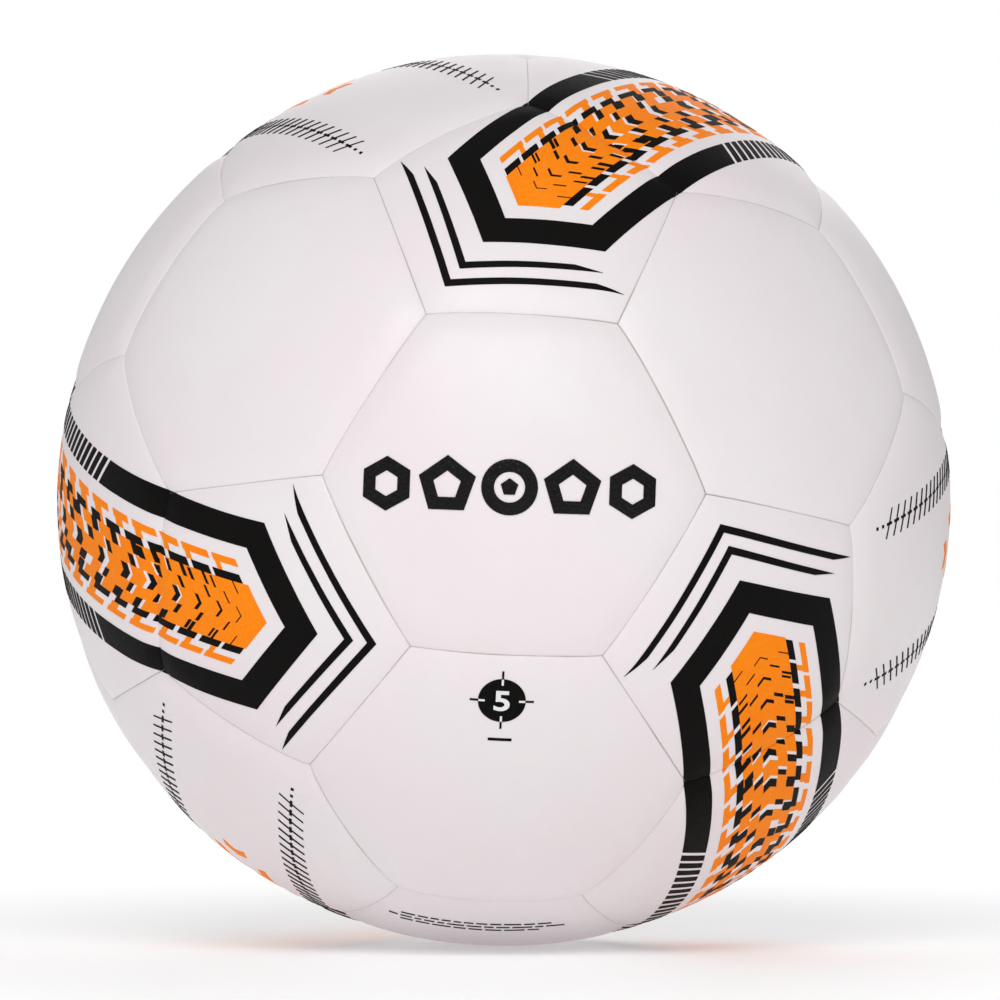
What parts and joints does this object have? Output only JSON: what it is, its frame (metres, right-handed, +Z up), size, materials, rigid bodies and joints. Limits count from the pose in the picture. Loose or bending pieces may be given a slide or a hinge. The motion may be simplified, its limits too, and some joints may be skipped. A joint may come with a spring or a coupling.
{
  "type": "soccer ball",
  "caption": "Size 5 soccer ball of sewn hexagonal and pentagonal padded panels over an air bladder with a needle valve; rolls, bounces and is kicked.",
  "frame": {"origin": "centre of the ball", "axes": "+Z up with the ball lying as it was seen, the badge panel's middle faces -Y, the needle valve faces +Y"},
  "size_m": [0.22, 0.2199, 0.22],
  "materials": {
    "panel_skin": "white synthetic leather with a fine grain and a satin gloss, printed in black and fluorescent orange",
    "black_ink": "glossy black screen print over the leather grain",
    "orange_ink": "fluorescent orange screen print over the leather grain",
    "foam_pad": "closed-cell foam",
    "backing_cloth": "woven polyester and cotton cloth",
    "seam_thread": "waxed polyester thread",
    "bladder_rubber": "matt butyl rubber",
    "patch_rubber": "matt butyl rubber",
    "valve_housing_rubber": "moulded black rubber",
    "valve_core_rubber": "soft pale silicone rubber, lightly oiled"
  },
  "bodies": {
    "root": {"bladder": "bladder_rubber", "hexagon_backing_cloths": "backing_cloth", "hexagon_foam_pads": "foam_pad", "hexagon_panel_01": "panel_skin", "hexagon_panel_02": "panel_skin", "hexagon_panel_03": "panel_skin", "hexagon_panel_04": "panel_skin", "hexagon_panel_05": "panel_skin", "hexagon_panel_06": "panel_skin", "hexagon_panel_07": "panel_skin", "hexagon_panel_08": "panel_skin", "hexagon_panel_09": "panel_skin", "hexagon_panel_10": "panel_skin", "hexagon_panel_11": "panel_skin", "hexagon_panel_12": "panel_skin", "hexagon_panel_13": "panel_skin", "hexagon_panel_14": "panel_skin", "hexagon_panel_15": "panel_skin", "hexagon_panel_16": "panel_skin", "hexagon_panel_17": "panel_skin", "hexagon_panel_18": "panel_skin", "hexagon_panel_19": "panel_skin", "pentagon_backing_cloths": "backing_cloth", "pentagon_foam_pads": "foam_pad", "pentagon_panel_01": "panel_skin", "pentagon_panel_02": "panel_skin", "pentagon_panel_03": "panel_skin", "pentagon_panel_04": "panel_skin", "pentagon_panel_05": "panel_skin", "pentagon_panel_06": "panel_skin", "pentagon_panel_07": "panel_skin", "pentagon_panel_08": "panel_skin", "pentagon_panel_09": "panel_skin", "pentagon_panel_10": "panel_skin", "pentagon_panel_11": "panel_skin", "pentagon_panel_12": "panel_skin", "seam_stitching": "seam_thread", "valve_core": "valve_core_rubber", "valve_housing": "valve_housing_rubber", "valve_panel": "panel_skin", "valve_patch": "patch_rubber"}
  },
  "joints": []
}
